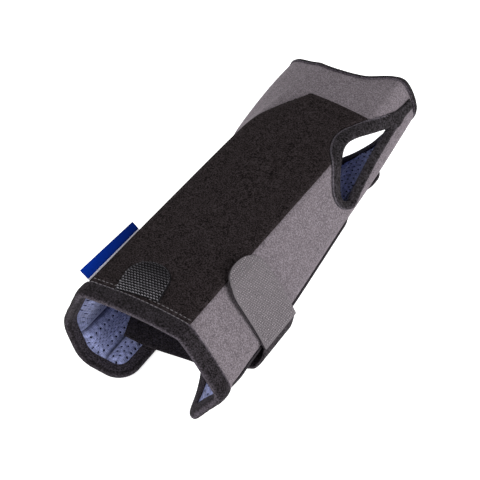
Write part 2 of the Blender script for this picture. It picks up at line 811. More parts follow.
def face_out(piece):
    """Turns a closed mesh's faces outwards."""
    mesh = piece.data
    mesh.calc_loop_triangles()
    corners = np.array([v.co for v in mesh.vertices])
    triangles = np.array([t.vertices for t in mesh.loop_triangles])
    a, b, c = (corners[triangles[:, k]] for k in range(3))
    if np.einsum("ij,ij->i", a, np.cross(b, c)).sum() < 0:
        mesh.flip_normals()


def stand_for(piece, slot, *nodes):
    """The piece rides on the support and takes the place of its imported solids."""
    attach(piece, BODY)
    if nodes:
        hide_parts(*nodes)
    return piece


# Sockets of the Mix node for colours, whose names are not unique
MIX_FACTOR, MIX_A, MIX_B, MIX_RESULT = 0, 6, 7, 2


class Builder:
    """Adds nodes to a tree, with their inputs given as values or as sockets of other nodes."""

    def __init__(self, tree):
        self.tree = tree

    def add(self, kind, inputs=None, **settings):
        node = self.tree.nodes.new(kind)
        for key, value in settings.items():
            setattr(node, key, value)
        for key, value in (inputs or {}).items():
            if isinstance(value, bpy.types.NodeSocket):
                self.tree.links.new(value, node.inputs[key])
            else:
                node.inputs[key].default_value = value
        return node

    def math(self, operation, a, b=0.0):
        return self.add("ShaderNodeMath", {0: a, 1: b}, operation=operation).outputs[0]

    def blend(self, a, share, b):
        """A share of one value, added to another."""
        return self.math("ADD", self.math("MULTIPLY", a, share), b)

    def pattern(self):
        """Places on the flat pattern of a piece."""
        return self.add("ShaderNodeUVMap", uv_map="pattern").outputs["UV"]

    def place(self):
        """Places in the frame of the support."""
        return self.add("ShaderNodeTexCoord").outputs["Object"]

    def stored(self, label):
        """Value that is kept for each point of a piece."""
        return self.add("ShaderNodeAttribute", attribute_name=label).outputs["Fac"]

    def cloud(self, coordinates, scale, detail, roughness=0.5):
        """Soft noise at a scale."""
        inputs = {"Vector": coordinates, "Scale": scale, "Detail": detail, "Roughness": roughness}
        return self.add("ShaderNodeTexNoise", inputs).outputs["Fac"]

    def speckle(self, coordinates, size, detail):
        """Noise whose grains are about the given size across."""
        return self.cloud(coordinates, 1 / size, detail, 0.65)

    def fade(self, start, stop):
        """Share that rises from 0 to 1 along the support, between two places on its Y axis."""
        axis = self.add("ShaderNodeSeparateXYZ", {"Vector": self.place()})
        span = {"Value": axis.outputs["Y"], "From Min": start, "From Max": stop}
        return self.add("ShaderNodeMapRange", span).outputs["Result"]

    def ramp(self, factor, stops):
        """Colour at a factor, between stops of place and colour."""
        node = self.add("ShaderNodeValToRGB", {"Fac": factor})
        elements = node.color_ramp.elements
        while len(elements) < len(stops):
            elements.new(0.5)
        for element, (place, colour) in zip(elements, stops):
            element.position = place
            element.color = (*colour, 1.0)
        return node.outputs["Color"]

    def mix(self, factor, tone, other):
        """Colour between a tone and another colour, which may be a socket too."""
        if not isinstance(other, bpy.types.NodeSocket):
            other = (*other, 1.0)
        inputs = {MIX_FACTOR: factor, MIX_A: tone, MIX_B: other}
        return self.add("ShaderNodeMix", inputs, data_type="RGBA").outputs[MIX_RESULT]

    def relief(self, shader, height, depth, strength=0.8, invert=False):
        """Lets a height show as relief on a shader."""
        inputs = {"Height": height, "Distance": depth, "Strength": strength}
        bump = self.add("ShaderNodeBump", inputs, invert=invert)
        self.tree.links.new(bump.outputs["Normal"], shader.inputs["Normal"])

    def dress(self, shader, tone, **values):
        """Gives a shader its colour and its other values, named as its inputs with _ for a space."""
        self.tree.links.new(tone, shader.inputs["Base Color"])
        for key, value in values.items():
            shader.inputs[key.replace("_", " ")].default_value = value


def shade(colour, factor):
    """The colour, darker or lighter."""
    return tuple(min(1.0, channel * factor) for channel in colour)


def new_material(name):
    """Empty node material with a matt fabric shader: the material, its builder and its shader node."""
    material = bpy.data.materials.new(name)
    material.use_nodes = True
    material.node_tree.nodes.clear()
    build = Builder(material.node_tree)
    shader = build.add("ShaderNodeBsdfPrincipled", {"Roughness": 0.95, "Specular IOR Level": 0.05})
    build.add("ShaderNodeOutputMaterial", {"Surface": shader.outputs["BSDF"]})
    return material, build, shader


def napped_fabric(name, colour, grain, contrast, nap, sheen, warm, edge_light=0.0):
    """Brushed or felted fabric: grains in two sizes that wander in tone, paler where its nap is worn."""
    material, build, shader = new_material(name)
    where = build.place()
    fine = build.speckle(where, grain, 1.0)
    coarse = build.speckle(where, grain * 5, 2.0)
    mixed = build.blend(fine, 0.8, build.math("MULTIPLY", coarse, 0.2))
    warmer = (colour[0] * (1 + warm), colour[1], colour[2] * (1 - warm))
    tone = build.ramp(mixed, [
        (0.35, shade(colour, 1 - contrast)),
        (0.5, warmer),
        (0.65, shade(colour, 1 + contrast * 1.3)),
    ])
    if edge_light:
        lift = build.math("MULTIPLY", build.stored("nap"), build.math("MULTIPLY", fine, 2 * edge_light))
        pale = build.ramp(fine, [(0.3, shade(colour, 2.2)), (0.7, shade(colour, 7.0))])
        tone = build.mix(lift, tone, pale)
    fuzz = build.speckle(where, grain * 0.45, 2.0)
    build.relief(shader, build.blend(fuzz, 0.5, fine), nap)
    build.dress(shader, tone, Sheen_Weight=sheen, Sheen_Roughness=0.6)
    return material


def spacer_mesh(name, colour):
    """Knitted spacer mesh: small cells between pale threads, with soft changes of tone and dark seams."""
    material, build, shader = new_material(name)
    where = build.pattern()
    cell = {"Vector": where, "Scale": 115.0, "Randomness": 0.35}
    knit = build.add("ShaderNodeTexVoronoi", cell, feature="F1").outputs["Distance"]
    blotch = build.math("ADD", build.cloud(where, 45.0, 3.0), 0.32)
    mixed = build.math("SUBTRACT", blotch, build.math("MULTIPLY", knit, 0.7))
    tone = build.ramp(mixed, [
        (0.25, shade(colour, 0.5)),
        (0.5, colour),
        (0.75, shade(colour, 1.6)),
    ])
    deep = build.math("MULTIPLY", build.stored("valley"), 0.85)
    tone = build.mix(deep, tone, shade(colour, 0.16))
    build.relief(shader, knit, 0.25 * MM, strength=0.7, invert=True)
    build.dress(shader, tone, Roughness=0.75, Sheen_Weight=0.15)
    return material


def woven_tape(name, colour, rib, contrast, depth):
    """Woven tape: ribs across its run, crossed by finer threads."""
    material, build, shader = new_material(name)
    where = build.pattern()
    axis = build.add("ShaderNodeSeparateXYZ", {"Vector": where})
    turns = 2 * math.pi / (rib * MAP_SCALE)
    ribs = build.math("SINE", build.math("MULTIPLY", axis.outputs["Y"], turns))
    threads = build.math("SINE", build.math("MULTIPLY", axis.outputs["X"], turns * 1.7))
    weave = build.blend(ribs, 0.3, build.math("MULTIPLY", threads, 0.12))
    tone = build.ramp(build.blend(weave, 0.6, build.cloud(where, 120.0, 2.0)), [
        (0.2, shade(colour, 1 - contrast)),
        (0.5, colour),
        (0.8, shade(colour, 1 + contrast)),
    ])
    build.relief(shader, weave, depth)
    build.dress(shader, tone, Roughness=0.8)
    return material


def satin_ribbon(name, colour):
    """Satin ribbon: fine threads, brighter towards its fold and dimmer towards the hand, with a pale hem."""
    material, build, shader = new_material(name)
    where = build.pattern()
    run = build.add("ShaderNodeSeparateXYZ", {"Vector": where}).outputs["Y"]
    threads = build.math("SINE", build.math("MULTIPLY", run, 1100.0))
    tone = build.ramp(build.blend(threads, 0.12, build.cloud(where, 60.0, 3.0)), [
        (0.3, shade(colour, 0.75)),
        (0.5, colour),
        (0.75, shade(colour, 1.3)),
    ])
    tone = build.mix(build.math("MULTIPLY", run, 8.0), tone, shade(colour, 1.7))
    tone = build.mix(build.fade(*LABEL_DIM), tone, shade(colour, 0.62))
    tone = build.mix(build.math("LESS_THAN", run, LABEL_HEM * MAP_SCALE), tone, HEM_COLOUR)
    build.relief(shader, threads, 0.05 * MM, strength=0.5)
    build.dress(shader, tone, Roughness=0.6, Specular_IOR_Level=0.02)
    return material


def spun_thread(name, colour, fade=None):
    """Sewing thread or hook yarn: slightly glossy, uneven in tone, darker along a fade."""
    material, build, shader = new_material(name)
    grain = build.speckle(build.place(), 1.2 * MM, 2.0)
    tone = build.ramp(grain, [(0.3, shade(colour, 0.6)), (0.5, colour), (0.7, shade(colour, 1.35))])
    if fade:
        tone = build.mix(build.fade(*fade), tone, shade(colour, 0.2))
    build.dress(shader, tone, Roughness=0.55)
    return material


def new_tree(name, sockets):
    """Geometry tree with a geometry input and output and the named inputs: the builder and both ends."""
    tree = bpy.data.node_groups.new(name, "GeometryNodeTree")
    tree.interface.new_socket(name="Geometry", in_out="INPUT", socket_type="NodeSocketGeometry")
    for label, kind in sockets:
        tree.interface.new_socket(name=label, in_out="INPUT", socket_type=kind)
    tree.interface.new_socket(name="Geometry", in_out="OUTPUT", socket_type="NodeSocketGeometry")
    build = Builder(tree)
    return build, build.add("NodeGroupInput"), build.add("NodeGroupOutput")


def grown(piece, tree, values, name):
    """Plain mesh object of a piece after a geometry tree, with the named inputs set."""
    modifier = piece.modifiers.new(name, "NODES")
    modifier.node_group = tree
    for item in tree.interface.items_tree:
        if item.in_out == "INPUT" and item.name in values:
            modifier[item.identifier] = values[item.name]
    bpy.context.view_layer.update()
    depsgraph = bpy.context.evaluated_depsgraph_get()
    mesh = bpy.data.meshes.new_from_object(piece.evaluated_get(depsgraph))
    mesh.name = name
    source = piece.data
    bpy.data.objects.remove(piece)
    if isinstance(source, bpy.types.Mesh):
        bpy.data.meshes.remove(source)
    else:
        bpy.data.curves.remove(source)
    if not len(mesh.polygons):
        raise RuntimeError(f"{name} came out empty")
    return placed(name, mesh)


def finish_tree(build, geometry, given, made):
    """Realized instances, smooth and in their material, as the tree's result."""
    real = build.add("GeometryNodeRealizeInstances", {"Geometry": geometry})
    soft = build.add("GeometryNodeSetShadeSmooth", {"Geometry": real.outputs["Geometry"]})
    dressed = build.add("GeometryNodeSetMaterial", {
        "Geometry": soft.outputs["Geometry"],
        "Material": given.outputs["Material"],
    })
    build.tree.links.new(dressed.outputs["Geometry"], made.inputs["Geometry"])


def stitch_tree():
    """Stitches along curves: one small spindle of thread for each step."""
    build, given, made = new_tree("stitches", [
        ("Pitch", "NodeSocketFloat"),
        ("Length", "NodeSocketFloat"),
        ("Thread", "NodeSocketFloat"),
        ("Material", "NodeSocketMaterial"),
    ])
    path = {"Curve": given.outputs["Geometry"], "Length": given.outputs["Pitch"]}
    steps = build.add("GeometryNodeCurveToPoints", path, mode="LENGTH")
    ball = build.add("GeometryNodeMeshUVSphere", {"Segments": 7, "Rings": 5, "Radius": 0.5})
    size = build.add("ShaderNodeCombineXYZ", {
        "X": given.outputs["Thread"],
        "Y": given.outputs["Thread"],
        "Z": given.outputs["Length"],
    })
    spindle = build.add("GeometryNodeTransform", {
        "Geometry": ball.outputs["Mesh"],
        "Scale": size.outputs[0],
    })
    rows = build.add("GeometryNodeInstanceOnPoints", {
        "Points": steps.outputs["Points"],
        "Instance": spindle.outputs["Geometry"],
        "Rotation": steps.outputs["Rotation"],
    })
    finish_tree(build, rows.outputs["Instances"], given, made)
    return build.tree


def hook_tree():
    """Hooks on a tape: one bent loop of yarn on each point, across the run of the tape."""
    build, given, made = new_tree("hooks", [
        ("Height", "NodeSocketFloat"),
        ("Yarn", "NodeSocketFloat"),
        ("Material", "NodeSocketMaterial"),
    ])
    arch = build.add("GeometryNodeCurveArc", {
        "Resolution": 6,
        "Radius": 0.5,
        "Start Angle": 0.0,
        "Sweep Angle": math.pi,
    })
    upright = build.add("GeometryNodeTransform", {
        "Geometry": arch.outputs["Curve"],
        "Rotation": (math.pi / 2, 0.0, 0.0),
    })
    height = given.outputs["Height"]
    tall = build.math("MULTIPLY", height, 1.6)
    size = build.add("ShaderNodeCombineXYZ", {"X": height, "Y": height, "Z": tall})
    sized = build.add("GeometryNodeTransform", {
        "Geometry": upright.outputs["Geometry"],
        "Scale": size.outputs[0],
    })
    ring = build.add("GeometryNodeCurvePrimitiveCircle", {"Resolution": 5, "Radius": given.outputs["Yarn"]})
    loop = build.add("GeometryNodeCurveToMesh", {
        "Curve": sized.outputs["Geometry"],
        "Profile Curve": ring.outputs["Curve"],
        "Fill Caps": True,
    })
    up = build.add("GeometryNodeInputNamedAttribute", {"Name": "up"}, data_type="FLOAT_VECTOR")
    run = build.add("GeometryNodeInputNamedAttribute", {"Name": "run"}, data_type="FLOAT_VECTOR")
    stand = build.add("FunctionNodeAlignRotationToVector", {"Vector": up.outputs["Attribute"]}, axis="Z")
    face = {"Rotation": stand.outputs["Rotation"], "Vector": run.outputs["Attribute"]}
    turn = build.add("FunctionNodeAlignRotationToVector", face, axis="X", pivot_axis="Z")
    rows = build.add("GeometryNodeInstanceOnPoints", {
        "Points": given.outputs["Geometry"],
        "Instance": loop.outputs["Mesh"],
        "Rotation": turn.outputs["Rotation"],
    })
    finish_tree(build, rows.outputs["Instances"], given, made)
    return build.tree


def perforation_tree():
    """Holes: each marked face sinks in, narrows and takes the dark finish of the hole."""
    build, given, made = new_tree("perforations", [
        ("Depth", "NodeSocketFloat"),
        ("Taper", "NodeSocketFloat"),
        ("Material", "NodeSocketMaterial"),
        ("Hole Material", "NodeSocketMaterial"),
    ])
    dressed = build.add("GeometryNodeSetMaterial", {
        "Geometry": given.outputs["Geometry"],
        "Material": given.outputs["Material"],
    })
    marked = build.add("GeometryNodeInputNamedAttribute", {"Name": "hole"}, data_type="BOOLEAN")
    sunk = build.add("GeometryNodeExtrudeMesh", {
        "Mesh": dressed.outputs["Geometry"],
        "Selection": marked.outputs["Attribute"],
        "Offset Scale": build.math("MULTIPLY", given.outputs["Depth"], -1.0),
        "Individual": True,
    }, mode="FACES")
    narrow = build.add("GeometryNodeScaleElements", {
        "Geometry": sunk.outputs["Mesh"],
        "Selection": sunk.outputs["Top"],
        "Scale": given.outputs["Taper"],
    }, domain="FACE")
    ends = {0: sunk.outputs["Top"], 1: sunk.outputs["Side"]}
    dark = build.add("FunctionNodeBooleanMath", ends, operation="OR")
    real = build.add("GeometryNodeRealizeInstances", {"Geometry": narrow.outputs["Geometry"]})
    lined = build.add("GeometryNodeSetMaterial", {
        "Geometry": real.outputs["Geometry"],
        "Selection": dark.outputs[0],
        "Material": given.outputs["Hole Material"],
    })
    build.tree.links.new(lined.outputs["Geometry"], made.inputs["Geometry"])
    return build.tree


def sewn(name, lines, sizes, material, slot, pitch=None, thread=None):
    """Rows of stitches along lines of points."""
    curve = bpy.data.curves.new(name, "CURVE")
    curve.dimensions = "3D"
    for line in lines:
        spline = curve.splines.new("POLY")
        spline.points.add(len(line) - 1)
        for point, place in zip(spline.points, line):
            point.co = (*place, 1.0)
    rows = placed(name, curve)
    tree = bpy.data.node_groups.get("stitches") or stitch_tree()
    step = pitch or sizes.stitch_pitch
    values = {
        "Pitch": step,
        "Length": step * sizes.stitch_length / sizes.stitch_pitch,
        "Thread": thread or sizes.thread,
        "Material": material,
    }
    return stand_for(grown(rows, tree, values, name), slot)


def hooked(name, places, ups, runs, height, yarn, material, slot):
    """Rows of hooks standing on places of a tape."""
    mesh = bpy.data.meshes.new(name)
    mesh.from_pydata(places.tolist(), [], [])
    for label, vectors in (("up", ups), ("run", runs)):
        attribute = mesh.attributes.new(label, "FLOAT_VECTOR", "POINT")
        attribute.data.foreach_set("vector", np.asarray(vectors, np.float32).ravel())
    seats = placed(name, mesh)
    tree = bpy.data.node_groups.get("hooks") or hook_tree()
    values = {"Height": height, "Yarn": yarn, "Material": material}
    return stand_for(grown(seats, tree, values, name), slot)


def settings(context):
    """Sizes and colours of the support."""
    return context.scene.wrist_support_sizes, context.scene.wrist_support_colours


class WRIST_OT_outer_wall(bpy.types.Operator):
    """Folds the padded wall round the form and cuts the thumb hole"""

    bl_idname = "wrist_support.outer_wall"
    bl_label = "Outer Wall"

    def execute(self, context):
        sizes, colours = settings(context)
        step = sizes.fabric_step
        hole, _ = thumb_outline(step)
        flat, faces = flat_mesh(wall_outline(step), [hole], step)
        piece = cloth_shell("outer_wall_fabric", flat, faces, 0.0, -sizes.wall)
        piece.data.materials.append(napped_fabric(
            "brushed_loop", colours.wall,
            grain=0.85 * MM, contrast=0.4, nap=0.35 * MM, sheen=0.03, warm=0.03,
        ))
        stand_for(piece, "wall_fabric", "outer_wall")
        return {"FINISHED"}


class WRIST_OT_lining(bpy.types.Operator):
    """Lays the perforated lining inside the wall, full between its sewn channels"""

    bl_idname = "wrist_support.lining"
    bl_label = "Lining"

    def let_out(self, flat, outline, hole):
        """How far the padding is let out of the bound edges: 0 at an edge and 1 well inside."""
        away = np.minimum(distance_to(flat, outline), distance_to(flat, hole))
        flap = ease(flat[:, 0] / MM, *FLAP_PULL)
        hand = ease(flat[:, 1] / MM, *HAND_PULL)

        def pulled(anywhere, on_flap, at_hand):
            return (anywhere + on_flap * flap + at_hand * hand) * MM

        return ease(away - pulled(*PADDING_START), 0, pulled(*PADDING_RISE))

    def channel_height(self, flat, full):
        """How far the lining stands up between its seams: fuller the wider the channel is."""
        marks = section(flat[:, 1])[2]
        seams = [marks[k] + (marks[k + 1] - marks[k]) * place for k, place in LINING_SEAMS]
        seams = np.array([marks[0], *seams, marks[LAST]])
        height = np.zeros(len(flat))
        for low, high in zip(seams[:-1], seams[1:]):
            u = (flat[:, 0] - low) / (high - low)
            here = (u >= 0) & (u <= 1)
            pillow = np.sqrt(np.clip(4 * u * (1 - u), 0, 1)) * np.minimum(1, (high - low) / FULL_CHANNEL)
            height = np.where(here, full * pillow, height)
        return height

    def seam_lines(self, outline, hole, shift, margin):
        """Flat lines along the seams, moved across by a shift and kept a margin from the bound edges."""
        y = np.arange(SEAM_START, SEAM_STOP, SEAM_STEP)
        near = np.vstack([outline, hole])
        lines = []
        for seam in LINING_SEAMS:
            line = np.stack([girth_at(y, *seam) + shift, y], 1)
            clear = within(line, outline) & ~within(line, hole) & (distance_to(line, near) > margin)
            kept = np.flatnonzero(clear)
            runs = np.split(kept, np.flatnonzero(np.diff(kept) > 1) + 1)
            lines += [line[run] for run in runs if len(run) > 2]
        return lines

    def hole_rings(self, outline, hole, sizes):
        """Outlines of the holes, in staggered rows along the lining."""
        pitch, radius = sizes.hole_pitch, sizes.hole_width / 2
        low, high = outline.min(0), outline.max(0)
        across = pitch * HOLE_ROWS
        centres = np.array([
            (low[0] + i * across, low[1] + (j + 0.5 * (i % 2)) * pitch)
            for i in range(int((high[0] - low[0]) / across) + 1)
            for j in range(int((high[1] - low[1]) / pitch) + 1)
        ])
        centres = centres[within(centres, outline) & ~within(centres, hole)]
        centres = centres[distance_to(centres, np.vstack([outline, hole])) > HOLE_MARGIN]
        seams = np.array([girth_at(centres[:, 1], *seam) for seam in LINING_SEAMS])
        centres = centres[np.abs(seams - centres[:, 0]).min(0) > radius + HOLE_SEAM_GAP]
        angle = np.arange(HOLE_SIDES) * 2 * np.pi / HOLE_SIDES
        ring = radius * np.stack([np.cos(angle), np.sin(angle)], 1)
        return [centre + ring for centre in centres]

    def seam_shade(self, flat):
        """How dark the lining is along its seams and, by the forearm end, in one worn channel."""
        seams = np.array([girth_at(flat[:, 1], *seam) for seam in LINING_SEAMS])
        dark = np.exp(-((np.abs(seams - flat[:, 0]).min(0) / SHADE_WIDTH) ** 2))
        low, high = seams[1], seams[2]
        worn = ease(flat[:, 0] - low, 0, WORN_EDGE) * (1 - ease(flat[:, 0] - high, -WORN_EDGE, 0))
        worn = worn * (1 - ease(flat[:, 1], *WORN_FADE))
        return np.maximum(dark, WORN_SHARE * worn)

    def padded_sheet(self, sizes, outline, hole, rings):
        """Closed lining with its holes as flat caps, full between the seams."""
        step = sizes.fabric_step
        creases = []
        for shift in (-CREASE_SHIFT, 0.0, CREASE_SHIFT):
            creases += self.seam_lines(outline, hole, shift, CREASE_MARGIN)
        front, faces = flat_mesh(outline, [hole], step, rings=rings, creases=creases)
        back, back_faces = flat_mesh(outline, [hole], 3 * step)
        face = -sizes.wall - CLEAR
        free = self.let_out(front, outline, hole)
        padding = sizes.lining * (EDGE_SHARE + (1 - EDGE_SHARE) * free)
        inner = wrap(front, face - padding - free * self.channel_height(front, sizes.channel))
        outer = wrap(back, face)
        bound = len(outline) + len(hole)
        caps = bound + np.arange(len(rings) * HOLE_SIDES).reshape(-1, HOLE_SIDES)[:, ::-1]
        sides = []
        for first, count, turn in ((0, len(outline), 1), (len(outline), len(hole), -1)):
            a = first + np.arange(count)
            b = first + (np.arange(count) + 1) % count
            sides.append(np.stack([a, b, b + len(front), a + len(front)], 1)[:, ::turn])
        skin = [*faces[:, ::-1].tolist(), *caps.tolist()]
        skin += [*(back_faces + len(front)).tolist(), *np.vstack(sides).tolist()]
        piece = new_piece("lining_sheet", np.vstack([inner, outer]), skin, np.vstack([front, back]))
        face_out(piece)
        marked = np.zeros(len(skin), bool)
        marked[len(faces): len(faces) + len(caps)] = True
        piece.data.attributes.new("hole", "BOOLEAN", "FACE").data.foreach_set("value", marked)
        store(piece, "valley", np.concatenate([self.seam_shade(front), np.zeros(len(back))]))
        return piece

    def execute(self, context):
        sizes, colours = settings(context)
        outline = wall_outline(sizes.fabric_step)
        hole, _ = thumb_outline(sizes.fabric_step)
        rings = self.hole_rings(outline, hole, sizes)
        values = {
            "Depth": sizes.hole_depth,
            "Taper": HOLE_TAPER,
            "Material": spacer_mesh("spacer_mesh", colours.lining),
            "Hole Material": spun_thread("hole_shadow", colours.hole),
        }
        piece = self.padded_sheet(sizes, outline, hole, rings)
        lining = grown(piece, perforation_tree(), values, "lining_mesh")
        stand_for(lining, "spacer_mesh", "lining")

        level = -sizes.wall - CLEAR - sizes.lining - 0.05 * MM
        seams = self.seam_lines(outline, hole, 0.0, STITCH_MARGIN)
        lines = [wrap(line, level) for line in seams]
        thread = spun_thread("lining_thread", shade(colours.lining, 0.3))
        sewn("lining_stitches", lines, sizes, thread, "spacer_mesh")
        return {"FINISHED"}


def near_line(offset, sizes, count=70):
    """Flat line across the back, an offset in from the inner edge of the forearm binding."""
    low = crease_girth(FOREARM_Y, LEFT_CREASE)[0]
    high = crease_girth(FOREARM_Y)[0]
    girth = np.linspace(low, high, count)
    return np.stack([girth, smooth(ENDS, "girth", girth, "forearm") + sizes.tape_width + offset], 1)


def panel_outline(step, sizes):
    """Flat outline of the dorsal panel, before its notch for the thumb binding."""
    near = near_line(PANEL_TUCK, sizes)
    right_y = np.linspace(near[-1, 1], PANEL_END, 120)[1:]
    right = np.stack([crease_girth(right_y), right_y], 1)
    left_y = np.linspace(PANEL_SLANT - PANEL_ROUND, near[0, 1], 100)[:-1]
    left = np.stack([crease_girth(left_y, LEFT_CREASE), left_y], 1)
    bend = np.array([crease_girth(PANEL_SLANT, LEFT_CREASE)[0], PANEL_SLANT])
    tip = np.array([PANEL_PEAK, PANEL_END])
    start = bend + (tip - bend) * PANEL_ROUND_SHARE
    u = np.linspace(0, 1, 12)[:-1, None]
    turn = start * (1 - u) ** 2 + bend * 2 * u * (1 - u) + left[0] * u**2
    return even_loop(np.vstack([near, right, tip[None], turn, left]), step)


def panel_notch(step, gap):
    """Flat outline of the room that the thumb binding takes out of the panel."""
    return thumb_outline(step, lambda out: thumb_reach(out) + gap)[0]


class WRIST_OT_dorsal_panel(bpy.types.Operator):
    """Lays the loop felt on the back, with a slanted corner and a notch at the thumb hole"""

    bl_idname = "wrist_support.dorsal_panel"
    bl_label = "Dorsal Panel"

    def execute(self, context):
        sizes, colours = settings(context)
        outline = panel_outline(PANEL_STEP, sizes)
        notch = panel_notch(PANEL_STEP, PANEL_GAP)
        flat, faces = flat_mesh(outline, [notch], PANEL_STEP, bands=PANEL_BANDS)
        away = edge_distance(flat, faces)
        top = CLEAR + rounded_edge(sizes.panel, away, PANEL_EDGE)
        piece = cloth_shell("dorsal_panel_felt", flat, faces, top, 0.15 * MM)
        piece.data.materials.append(napped_fabric(
            "loop_felt", colours.panel,
            grain=0.8 * MM, contrast=0.95, nap=0.4 * MM, sheen=0.0, warm=0.06,
        ))
        stand_for(piece, "loop_felt", "dorsal_panel")
        crosses = (np.cross(flat[b] - flat[a], flat[c] - flat[a]) for a, b, c in faces)
        area = 0.5 * sum(np.linalg.norm(cross) for cross in crosses)
        return {"FINISHED"}


def tape_profile(reach, inside, tuck, lip, sizes):
    """Section of a folded tape at each step: distance in from the edge, height and how worn its nap is.

    The skin comes first and then the back. Where the tape is tucked in, its fold hardly stands out. The lip
    says how worn the outside of the fold is.
    """
    depth = sizes.wall + CLEAR + sizes.lining * EDGE_SHARE
    high, low = CLEAR * 0.4, -depth - CLEAR * 0.4
    middle, half = (high + low) / 2, (high - low) / 2
    puff = TAPE_PUFF
    bulge = (TAPE_BULGE - TUCK_BULGE * tuck) * MM
    tape = sizes.tape
    none = np.zeros_like(reach)
    sink = tuck * (tape + puff)
    points = []

    def thick(s):
        return tape * (TAPE_EDGE if s == 1.0 else 1.0)

    def swell(s):
        return puff * math.sin(math.pi * s) ** 0.7

    for s in (1.0, 0.97, 0.8, 0.6, 0.4, 0.2, 0.05):
        points.append((reach * s, high + thick(s) + swell(s) - sink, 1.0 * (s > 0.9)))
    for angle in np.radians(np.linspace(14, 166, 11)):
        worn = lip * math.exp(-(((math.degrees(angle) - LIP_ANGLE) / LIP_SPREAD) ** 2))
        points.append((
            none - (bulge + tape) * math.sin(angle),
            middle + (half + tape) * math.cos(angle) - sink * max(0, math.cos(angle)),
            worn,
        ))
    for s in (0.05, 0.35, 0.7, 0.95, 1.0):
        points.append((inside * s, low - thick(s) - 0.6 * swell(s), 0.3))
    for s in (1.0, 0.5, 0.1):
        points.append((inside * s, low, 0.0))
    for angle in np.radians((140, 90, 40)):
        points.append((none - bulge * math.sin(angle), middle + half * math.cos(angle), 0.0))
    for s in (0.1, 0.5, 1.0):
        points.append((reach * s, high, 0.0))
    return [np.stack([none + value for value in values], 1) for values in zip(*points)]


def folded_tape(name, loop, inward, reach, inside, tuck, lip, sizes):
    """Tape folded over a closed edge."""
    inset, height, worn = tape_profile(reach, inside, tuck, lip, sizes)
    steps, sides = inset.shape
    flat = loop[:, None, :] + inward[:, None, :] * inset[:, :, None]
    points = wrap(flat.reshape(-1, 2), height.ravel())
    coarse = np.array([noise.noise(Vector(p) * FELT_COARSE) for p in points])
    fine = np.array([noise.noise(Vector(p) * FELT_FINE) for p in points])
    felt = coarse + 0.6 * fine
    middle = wrap(loop, height.mean())
    away = points - np.repeat(middle, sides, axis=0)
    away /= np.maximum(np.linalg.norm(away, axis=1), 1e-9)[:, None]
    wobble = FELT_HEIGHT * felt * (height.ravel() > height.max() * 0.4)
    points = points + away * wobble[:, None]
    points[:, 2] = np.maximum(points[:, 2], 0.0)
    index = np.arange(steps * sides).reshape(steps, sides)
    a, b = index, np.roll(index, -1, axis=1)
    c, d = np.roll(b, -1, axis=0), np.roll(a, -1, axis=0)
    quads = np.stack([a, b, c, d], -1).reshape(-1, 4)
    along = np.arange(steps) * np.linalg.norm(loop[1] - loop[0])
    across = np.linspace(0, TAPE_PATTERN, sides)
    pattern = np.stack([np.repeat(along, sides), np.tile(across, steps)], 1)
    piece = new_piece(name, points, quads, pattern)
    face_out(piece)
    store(piece, "nap", worn.ravel())
    return piece


class WRIST_OT_bindings(bpy.types.Operator):
    """Folds binding tape over the outer edge and round the thumb hole"""

    bl_idname = "wrist_support.bindings"
    bl_label = "Bindings"

    def execute(self, context):
        sizes, colours = settings(context)
        loop = wall_outline(BINDING_STEP)
        girth, y = loop.T / MM
        at_hand = ease(y, *HAND_NARROW)
        near = 1 - ease(y, *NEAR_FADE)
        bare = at_hand * (1 - 0.2 * ease(girth, *WEB_GIRTH))
        tuck = at_hand * np.maximum(1 - ease(girth, *ULNAR_TUCK), ease(girth, *THUMB_TUCK))
        reach = sizes.tape_width + (sizes.hand_cover - sizes.tape_width) * bare
        reach = reach + (TUCKED_REACH - reach) * tuck
        near_corner = ease(girth, *FLAP_GIRTH) * near
        inside = sizes.tape_inside + CORNER_REACH * near_corner
        lip = 0.3 + 0.7 * ease(girth, *LIP_GIRTH) * near
        edge = folded_tape("edge_binding_tape", loop, inward_ways(loop), reach, inside, tuck, lip, sizes)
        tape = napped_fabric(
            "binding_felt", colours.binding,
            grain=0.95 * MM, contrast=0.95, nap=0.5 * MM, sheen=0.02, warm=0.05, edge_light=1.1,
        )
        edge.data.materials.append(tape)
        stand_for(edge, "binding_tape", "edge_binding")

        hole, out = thumb_outline(THUMB_STEP)
        none = np.zeros(len(hole))
        reach, inside, lip = thumb_reach(out), none + THUMB_INSIDE, none + 0.5
        thumb = folded_tape("thumb_binding_tape", hole, out, reach, inside, none, lip, sizes)
        speckled = napped_fabric(
            "thumb_felt", colours.thumb,
            grain=1.3 * MM, contrast=1.0, nap=0.5 * MM, sheen=0.02, warm=0.05, edge_light=1.6,
        )
        thumb.data.materials.append(speckled)
        stand_for(thumb, "binding_tape", "thumb_binding")

        tail = self.tail(sizes)
        tail.data.materials.append(speckled)
        stand_for(tail, "binding_tape")
        return {"FINISHED"}

    def tail(self, sizes):
        """Tape over the web seam, from the tip of the thumb hole to the hand end."""
        below, y = TAIL["below"], TAIL["y"]
        outline = even_loop(np.stack([crease_girth(y) + below, y], 1), THUMB_STEP)
        flat, faces = flat_mesh(outline, [], THUMB_STEP)
        away = edge_distance(flat, faces)
        top = CLEAR + rounded_edge(sizes.tape + TAPE_PUFF, away, 1.5 * MM)
        piece = cloth_shell("thumb_tail_tape", flat, faces, top, 0.1 * MM)
        store(piece, "nap", np.zeros(len(piece.data.vertices)))
        return piece


